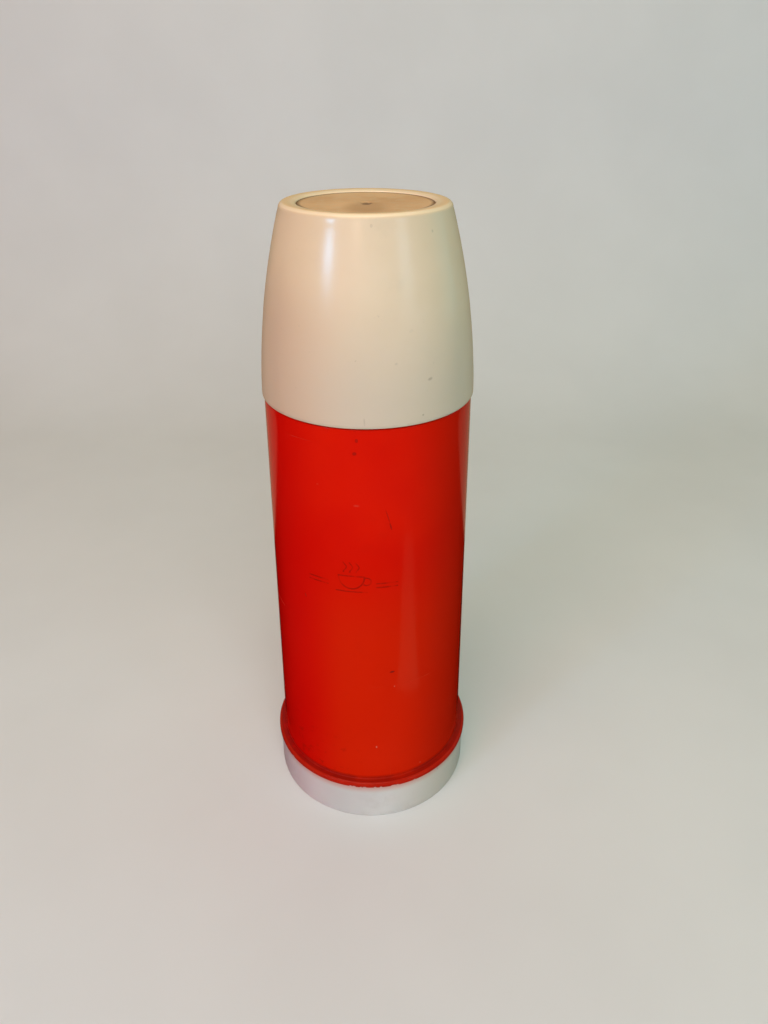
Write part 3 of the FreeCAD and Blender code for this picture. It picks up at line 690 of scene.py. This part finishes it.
def build_cup():
    side_top = CUP.high - 2.0
    middle = (CUP.low + side_top) / 2
    floor_z = CUP.high - 5.3
    pocket_z = CUP.high - 3.0
    pocket_radius = DISC.radius + 0.1
    thread_top = CUP_THREAD_Z + 14
    side = arc_through((CUP.radius, CUP.low), (37.8, middle), (30.4, side_top), 44)
    crown = arc_through((30.4, side_top), (29.7, CUP.high - 0.55), (28.2, CUP.high), 9)
    inner_middle = (thread_top + floor_z) / 2
    inside = arc_through((CUP_THREAD_WALL, thread_top), (35.0, inner_middle), (28.9, floor_z), 26)
    rim = [
        (CUP_THREAD_WALL + 0.9, CUP.low),
        (CUP.radius - 0.7, CUP.low),
        (CUP.radius - 0.25, CUP.low + 0.12),
        (CUP.radius - 0.06, CUP.low + 0.4),
    ]
    section = rim + side[1:] + crown[1:]
    section += [(26.2, CUP.high - 0.12), (pocket_radius + 0.5, CUP.high - 0.42)]
    section += [(pocket_radius + 0.12, CUP.high - 0.6), (pocket_radius, CUP.high - 0.95)]
    section += [(pocket_radius, pocket_z), (0, pocket_z), (0, floor_z)]
    section += [(24.0, floor_z), (26.5, floor_z - 0.35), (27.9, floor_z - 1.3)]
    section += inside[-4::-1]
    wall_rows = np.arange(thread_top - 0.2, CUP.low + 1.7, -0.2)
    section += [(CUP_THREAD_WALL, z) for z in wall_rows]
    section += [(CUP_THREAD_WALL + 0.1, CUP.low + 1.2)]

    def shape(angle, radius, height):
        on_wall = np.abs(radius - CUP_THREAD_WALL) < 0.01
        ridge = ridge_height(angle, height, CUP_THREAD_Z + LEAD / 2, LONG_RIDGE)
        below_crown, on_crown = height < 250, height > 259
        outer = smooth_step(radius, 38.0, 38.6) * below_crown + on_crown
        wave = ripple(angle, height, 5, 0.05) * np.clip(outer, 0, 1)
        return radius - on_wall * ridge + wave - 0.05 * (outer > 0), height

    cup = lathe("cup_shell", [np.array(p, float) for p in section], shape=shape)
    show(cup, "cup", cream_plastic(), "cream_plastic", "cup")


def build_foot_disc():
    top = DISC.high
    section = rounded_outline(
        [
            (0, DISC.low),
            (DISC.radius, DISC.low),
            (DISC.radius, top, 0.3),
            (DISC.radius - 0.9, top),
            (DISC.radius - 1.3, top - 0.12, 0.3),
            (1.9, top - 0.12),
            (1.5, top - 0.45),
            (1.1, top - 0.55),
            (0.7, top - 0.25),
            (0, top - 0.2),
        ],
        spacing=1.0,
    )

    def shape(angle, radius, height):
        sag = ripple(angle, radius * 6, 11, 0.06)
        return radius, height + sag * (height > DISC.low + 0.5) * (radius > 2.5) * (radius < 22) - 0.02

    disc = lathe("cup_foot_disc_insert", section, segments=192, shape=shape)
    show(disc, "cup_carrier", foot_disc_plastic(), "foot_disc_plastic", "cup_foot_disc")


CHIP_COUNT = 20
# Shallow dents of the case: bearing in radians, height, size, depth.
DENTS = [(0.42, 120.0, 9.0, 0.10), (-1.2, 70.0, 14.0, 0.15), (2.5, 140.0, 11.0, 0.18)]


def build_case():
    lip_top = CASE.low + 2.6
    low_radius, top_radius = 42.7, 40.1
    bore = 40.6
    shoulder_under = CASE.high - 2.2
    section = rounded_outline(
        [
            (bore, CASE.low),
            (CASE.radius, CASE.low, 0.5, 0.35),
            (CASE.radius, lip_top, 1.1),
            (low_radius, lip_top, 0.6, 4.5),
            (top_radius, CASE.high, 0.4),
            (33.0, CASE.high, 0.4),
            (33.0, shoulder_under),
            (37.9, shoulder_under, 0, 8.0),
            (40.2, 37.0),
            (bore, 36.4),
            (bore, BASE_NUT_Z + 9.0, 0, RIDGE_SPACING),
            (bore, BASE_NUT_Z - 1.3),
        ],
        spacing=1.6,
    )
    random = np.random.default_rng(23)
    chips = []
    for number in range(CHIP_COUNT):
        near_front = number < CHIP_COUNT // 2
        where = random.uniform(-0.25, 0.5) if near_front else random.uniform(0.8, TURN - 0.8)
        chips.append((where, random.uniform(0.004, 0.015), random.uniform(0.25, 0.6)))

    def chipped(angle, height):
        depth = np.zeros_like(angle)
        for where, half_width, deep in chips:
            apart = np.abs((angle - where + math.pi) % TURN - math.pi)
            depth = np.maximum(depth, deep * smooth_step(half_width - apart, -0.004, 0.004))
        return depth * (height < CASE.low + 0.75)

    def shape(angle, radius, height):
        on_lip = radius > CASE.radius - 1.2
        depth = chipped(angle, height) * on_lip
        under_skin = 41.0 - (height - 20) * 0.02
        outside = (radius > top_radius - 1.5) & (radius > under_skin)
        wave = (ripple(angle, height, 3, 0.05) - 0.05 * on_lip) * outside
        ragged = 0.05 * ripple(angle * 9, height, 8, 1.0) * on_lip * (height < CASE.low + 0.6)
        for where, z, size, deep in DENTS:
            away = np.hypot((angle - where) * radius, height - z) / size
            wave = wave - deep * np.exp(-away * away) * outside
        on_bore = np.abs(radius - bore) < 0.02
        ridge = ridge_height(angle, height, BASE_NUT_Z, SHORT_RIDGE) * on_bore
        return radius + wave - 0.6 * depth - ridge, height + depth + np.maximum(ragged, 0)

    def marks(angle, radius, height):
        return np.clip(chipped(angle, height) * 5, 0, 1) * (radius > CASE.radius - 1.6)

    case = lathe("case_shell", section, segments=640, shape=shape, marks=marks)
    show(case, "flask", red_plastic(), "red_plastic", "case")


def build_base():
    ledge = CASE.low - 0.2
    roof_z = ledge - 3
    skirt_inner = BASE.radius - 3.0
    spigot = 39.0
    plate_low, plate_high = 5.6, 8.2
    rib_count, rib_radius, rib_low = 12, 40.6, 2.0
    section = rounded_outline(
        [
            (skirt_inner, 0, 0.6),
            (BASE.radius, 0, 0.5),
            (BASE.radius, ledge, 0.4),
            (43.6, ledge),
            (43.6, ledge - 1.4),
            (41.6, ledge - 1.4),
            (41.6, ledge),
            (spigot, ledge),
            (spigot, BASE_THREAD_Z - 1.3, 0, RIDGE_SPACING),
            (spigot, BASE_THREAD_Z + 9.0),
            (spigot, BASE.high, 0.5),
            (36.8, BASE.high),
            (36.8, plate_high),
            (0, plate_high),
            (0, plate_low),
            (spigot, plate_low, 0.5),
            (spigot, roof_z),
            (skirt_inner, roof_z),
        ],
        spacing=1.5,
    )

    def shape(angle, radius, height):
        wave = (ripple(angle, height, 17, 0.04) - 0.04) * (radius > BASE.radius - 0.3)
        turned = np.abs((angle * rib_count / TURN + 0.5) % 1.0 - 0.5)
        rib = smooth_step(turned * TURN / rib_count * rib_radius, 1.2, 0.7)
        roof = (radius > spigot + 0.3) & (radius < skirt_inner - 0.3) & (np.abs(height - roof_z) < 0.05)
        on_spigot = (np.abs(radius - spigot) < 0.02) & (height > ledge)
        ridge = ridge_height(angle, height, BASE_THREAD_Z, SHORT_RIDGE) * on_spigot
        return radius + wave + ridge, height - roof * rib * (roof_z - rib_low)

    base = lathe("base_shell", section, segments=528, shape=shape)
    show(base, "flask", white_plastic(), "white_plastic", "base")


def build_collar():
    seat = CASE.high + 0.8
    step_z = CUP_THREAD_Z + LEAD * LONG_RIDGE + 2.2
    lip_radius = STOPPER_BORE + 2.0
    skirt = 32.7
    snap_z = CASE.high - 2.5
    ledge_low = WASHER.low
    ledge_high = WASHER.high - 0.6
    corners = [
        (27.6, ledge_low),
        (28.4, ledge_low),
        (28.4, seat - 1.5),
        (30.6, seat - 4.0),
        (30.6, COLLAR.low),
        (skirt, COLLAR.low),
        (33.8, snap_z - 2.5),
        (33.8, snap_z),
        (skirt, snap_z),
        (skirt, seat),
        (COLLAR_THREAD_WALL + 0.8, seat, 0.3),
        (COLLAR_THREAD_WALL + 0.8, seat + 2.0, 0.4),
        (COLLAR_THREAD_WALL, seat + 2.0, 0.3),
        (COLLAR_THREAD_WALL, step_z, 1.2),
        (lip_radius, step_z + 2.4, 1.0),
        (lip_radius, COLLAR.high, 0.8),
        (STOPPER_BORE, COLLAR.high, 0.8),
        (STOPPER_BORE, ledge_high),
        (27.6, ledge_high),
    ]
    section = rounded_outline(corners, spacing=0.30)

    def shape(angle, radius, height):
        outer = np.abs(radius - COLLAR_THREAD_WALL) < 0.02
        inner = np.abs(radius - STOPPER_BORE) < 0.02
        out_ridge = ridge_height(angle, height, CUP_THREAD_Z, LONG_RIDGE)
        in_ridge = ridge_height(angle, height, STOPPER_THREAD_Z + LEAD / 2, SHORT_RIDGE)
        return radius + outer * out_ridge - inner * in_ridge, height

    collar = lathe("neck_collar_moulding", section, segments=288, shape=shape)
    material = white_plastic("collar_plastic", (0.66, 0.645, 0.585), 0.0)
    show(collar, "flask", material, "white_plastic", "neck_collar")


def build_stopper():
    shoulder = WASHER.high + 0.1
    head_low = COLLAR.high + 0.5
    lid_seat = STOPPER.high - 2.4
    bore = STOPPER_THREAD_WALL - 2.0
    plug = 18.8
    section = rounded_outline(
        [
            (0, STOPPER.low),
            (plug, STOPPER.low, 1.5),
            (plug, shoulder),
            (STOPPER_THREAD_WALL, shoulder, 0.4, RIDGE_SPACING),
            (STOPPER_THREAD_WALL, head_low),
            (STOPPER.radius, head_low, 0.8, 0.35),
            (STOPPER.radius, STOPPER.high, 1.2),
            (STOPPER_THREAD_WALL, STOPPER.high, 0.3),
            (STOPPER_THREAD_WALL, lid_seat),
            (bore, lid_seat),
            (bore, shoulder + 2),
            (plug - 2, shoulder + 2),
            (plug - 2, STOPPER.low + 2),
            (0, STOPPER.low + 2),
        ],
        spacing=1.0,
    )
    flute, flute_count = 1.5, 30
    foot, top = head_low + flute, STOPPER.high - 2 * flute

    def shape(angle, radius, height):
        thread_wall = (np.abs(radius - STOPPER_THREAD_WALL) < 0.02) & (height < head_low)
        ridge = ridge_height(angle, height, STOPPER_THREAD_Z, LONG_RIDGE)
        turned = np.abs((angle * flute_count / TURN + 0.25) % 1.0 - 0.5)
        across = turned * TURN / flute_count * STOPPER.radius
        hollow = np.sqrt(np.maximum(flute**2 - across**2, 0)) - flute / 2
        ends = smooth_step(height, foot - 0.3, foot + 0.5) * smooth_step(top + 0.3 - height, 0, 0.8)
        on_head = radius > STOPPER.radius - 0.9
        cut = np.maximum(hollow, 0) * ends * on_head
        return radius + thread_wall * ridge - cut, height

    material = white_plastic("stopper_plastic", (0.69, 0.655, 0.56), 0.0)
    shell = lathe("stopper_shell_moulding", section, segments=360, shape=shape)
    show(shell, "stopper", material, "stopper_plastic", "stopper_shell")
    lid_section = rounded_outline(
        [
            (0, LID.low),
            (LID.radius, LID.low),
            (LID.radius, LID.high, 0.4),
            (LID.radius - 2.5, LID.high, 0.4),
            (LID.radius - 3.5, LID.high - 0.7, 0.4),
            (10, LID.high - 0.7, 0.4),
            (9, LID.high - 0.2, 0.3),
            (0, LID.high - 0.2),
        ],
        spacing=0.8,
    )
    lid = lathe("stopper_lid_moulding", lid_section, segments=288)
    show(lid, "stopper", material, "stopper_plastic", "stopper_lid")


def build_seals():
    rubber = seal_rubber()
    washer = lathe(
        "stopper_washer_ring",
        rounded_outline(
            [
                (18.9, WASHER.low, 0.3),
                (WASHER.radius, WASHER.low, 0.6),
                (WASHER.radius, WASHER.high, 0.3),
                (18.9, WASHER.high, 0.3),
            ],
            spacing=0.8,
        ),
        segments=240,
    )
    show(washer, "stopper_carrier", rubber, "seal_rubber", "stopper_washer")
    gasket = lathe(
        "collar_gasket_ring",
        rounded_outline(
            [
                (33.3, GASKET.low),
                (GASKET.radius, GASKET.low, 0.2),
                (GASKET.radius, GASKET.high, 0.2),
                (33.3, GASKET.high),
            ],
            spacing=0.8,
        ),
        segments=288,
    )
    show(gasket, "flask", rubber, "seal_rubber", "collar_gasket")
    lip = GLASS.high + 0.1
    seal = lathe(
        "neck_seal_cap",
        rounded_outline(
            [
                (20.7, lip, 0.3),
                (SEAL.radius - 1.7, lip),
                (SEAL.radius - 1.7, SEAL.low),
                (SEAL.radius, SEAL.low, 0.6),
                (SEAL.radius, SEAL.high, 0.4),
                (20.7, SEAL.high, 0.6),
            ],
            spacing=0.8,
        ),
        segments=240,
    )
    show(seal, "flask", rubber, "seal_rubber", "neck_seal")


def build_glass():
    """Inner wall of the vacuum vessel, which shows through the open mouth."""
    wall = 1.4
    body = GLASS.radius
    mouth = 20.5
    bottom = GLASS.low
    shoulder, neck = 168.0, 184.0
    section = rounded_outline(
        [
            (0, bottom),
            (body, bottom, 17.5),
            (body, shoulder, 11.5),
            (mouth + wall, neck, 9.5),
            (mouth + wall, GLASS.high - 1.8, 0.3),
            (24.9, GLASS.high - 1.8),
            (24.9, GLASS.high, 0.6),
            (mouth, GLASS.high, 0.9),
            (mouth, neck, 10.9),
            (body - wall, shoulder, 10.1),
            (body - wall, bottom + wall, 16.1),
            (0, bottom + wall),
        ],
        spacing=2.0,
    )
    glass = lathe("glass_inner_wall", section, segments=256)
    show(glass, "flask", silvered_glass(), "silvered_glass", "glass_inner_vessel")


def dress_hidden_nodes():
    """Materials for the CAD nodes whose own shape is shown."""
    dressed = {
        "stopper_core": cork(),
        "glass_outer_vessel": bpy.data.materials["silvered_glass"],
        "vacuum_spacers": packing_foam("spacer_pad", (0.58, 0.54, 0.46)),
        "tip_protector": seal_rubber("cushion_rubber", (0.035, 0.035, 0.035)),
        "shoulder_cushion": packing_foam(),
        "packing_sleeve": packing_card(),
        "base_seal": bpy.data.materials["seal_rubber"],
    }
    dressed["bottom_cushion"] = dressed["tip_protector"]
    for node, material in dressed.items():
        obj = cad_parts[node]
        obj.data.materials.clear()
        obj.data.materials.append(material)


# ---------------------------------------------------------------- stage, lights, camera
def build_stage():
    """A pale sheet that lies flat under the flask and curves up far behind it."""
    half_width, front, back, bend, top = 1.1, -1.3, 0.62, 0.25, 1.1
    profile = [(front, 0.0), (-0.4, 0.0), (0.2, 0.0), (back - bend, 0.0)]
    for step in range(1, 13):
        angle = math.radians(90 * step / 12)
        profile.append((back - bend + bend * math.sin(angle), bend - bend * math.cos(angle)))
    profile.append((back, top))
    points = []
    for y, z in profile:
        points.append((-half_width, y, z))
        points.append((half_width, y, z))
    faces = []
    for step in range(len(profile) - 1):
        a = 2 * step
        faces.append((a, a + 1, a + 3, a + 2))
    mesh = bpy.data.meshes.new("floor_sheet")
    mesh.from_pydata(points, [], faces)
    mesh.shade_smooth()
    sheet = bpy.data.objects.new("floor_sheet", mesh)
    bpy.context.scene.collection.objects.link(sheet)
    s = Shader("floor_paper")
    tone = s.between(s.noise(9.0, 3.0), 0.3, 0.7, 0.0, 1.0)
    colour = s.mix(tone, rgb(0.725, 0.73, 0.72), rgb(0.75, 0.755, 0.745))
    rough = s.between(tone, 0.0, 1.0, 0.8, 0.9)
    sheet.data.materials.append(s.finish(colour, rough, Specular_IOR_Level=0.1))
    sheet.visible_glossy = False


def area_light(name, place, target, size, energy, colour, roll=0.0, mirrored=True, diffuse=True):
    """A soft box aimed at the target and rolled about its aim by degrees. One that isn't
    mirrored leaves no bright patch on gloss; one that isn't diffuse leaves nothing else."""
    data = bpy.data.lights.new(name, "AREA")
    data.shape = "RECTANGLE"
    data.size, data.size_y = size
    data.energy = energy
    data.color = colour
    lamp = bpy.data.objects.new(name, data)
    bpy.context.scene.collection.objects.link(lamp)
    lamp.location = place
    facing = (Vector(target) - Vector(place)).to_track_quat("-Z", "Y")
    lamp.rotation_euler = (facing @ Quaternion((0.0, 0.0, 1.0), math.radians(roll))).to_euler()
    lamp.visible_camera = False
    lamp.visible_glossy = mirrored
    lamp.visible_diffuse = diffuse


def build_lights():
    """Soft light from over the camera, warmer from the left and cooler from the right, with
    small lamps for the highlights on the cup, a glint off the table and a pale wall behind."""
    body = (0, 0, 0.13)
    cup = (0, 0, 0.24)
    cup_rim = (0, 0, 0.25)
    big = (0.8, 0.8)
    area_light("front_left", (-0.55, -1.2, 0.75), body, big, 5.2, (1.0, 0.53, 0.62), mirrored=False)
    area_light("front_right", (0.3, -1.3, 0.75), body, big, 8.6, (0.78, 0.97, 1.0), mirrored=False)
    area_light("over_front", (-0.2, -0.5, 1.3), body, (0.9, 0.9), 6.2, (1.0, 0.91, 0.70))
    area_light("overhead", (0.1, 0.25, 1.3), body, (1.0, 1.0), 1.5, (1.0, 1.0, 0.4))
    area_light("warm_left", (-0.9, -0.9, 1.0), body, big, 1.7, (1.0, 0.12, 0.06), mirrored=False)
    area_light(
        "cool_right", (1.0, -0.8, 0.6), body, (0.7, 0.9), 0.9, (0.12, 0.88, 0.85), mirrored=False
    )
    area_light("side_right", (1.1, 0.25, 0.45), body, (0.5, 0.7), 0.75, (0.12, 0.75, 0.85))
    area_light(
        "strip_left", (-0.582, -0.611, 0.455), cup, (0.118, 0.13), 1.38, (0.22, 0.6, 1.0), roll=-38.0
    )
    area_light("strip_right", (0.52, -0.50, 0.40), cup, (0.18, 0.20), 0.32, (0.5, 0.8, 1.0))
    area_light(
        "strip_middle", (-0.15, -0.82, 0.59), cup_rim, (0.065, 0.11), 0.26, (1.0, 0.72, 0.52),
        diffuse=False,
    )
    glint_x, glint_y = 0.135, -0.15
    area_light(
        "table_glint", (glint_x, glint_y, 0.002), (glint_x, glint_y, 1.0), (0.052, 0.17), 0.016,
        (0.45, 1.0, 0.5), roll=134.0, diffuse=False,
    )
    area_light(
        "back_glow", (0.0, 0.19, 0.2), (0, 0, 0.2), (0.80, 0.4), 0.33, (1.0, 0.76, 0.47), diffuse=False
    )
    build_room()
    bpy.context.scene.view_settings.view_transform = "Standard"


def build_room():
    """Faint warm light from all round, unseen in gloss, and a pale backdrop where the camera
    sees past the sheet."""
    world = bpy.data.worlds.new("soft_room")
    world.use_nodes = True
    tree = world.node_tree
    fill = tree.nodes["Background"]
    fill.inputs["Color"].default_value = (1.0, 0.86, 0.68, 1.0)
    fill.inputs["Strength"].default_value = 0.07
    backdrop = tree.nodes.new("ShaderNodeBackground")
    backdrop.inputs["Color"].default_value = (0.56, 0.55, 0.53, 1.0)
    rays = tree.nodes.new("ShaderNodeLightPath")
    choice = tree.nodes.new("ShaderNodeMixShader")
    tree.links.new(rays.outputs["Is Camera Ray"], choice.inputs[0])
    tree.links.new(fill.outputs[0], choice.inputs[1])
    tree.links.new(backdrop.outputs[0], choice.inputs[2])
    tree.links.new(choice.outputs[0], tree.nodes["World Output"].inputs["Surface"])
    bpy.context.scene.world = world
    world.cycles_visibility.glossy = False


def build_camera():
    """A phone's main camera held close in front of the flask, looking down on it."""
    looking_down = 30.28
    data = bpy.data.cameras.new("view")
    data.lens = 27.04
    data.sensor_width = 36.0
    data.clip_start = 0.01
    camera = bpy.data.objects.new("view", data)
    camera.location = (0.0062, -0.2836, 0.3032)
    camera.rotation_euler = (math.radians(90 - looking_down), 0.00104, -0.0006)
    bpy.context.scene.collection.objects.link(camera)
    bpy.context.scene.camera = camera


build_camera()
build_cup()
build_foot_disc()
build_case()
build_base()
build_collar()
build_stopper()
build_seals()
build_glass()
dress_hidden_nodes()
build_stage()
build_lights()
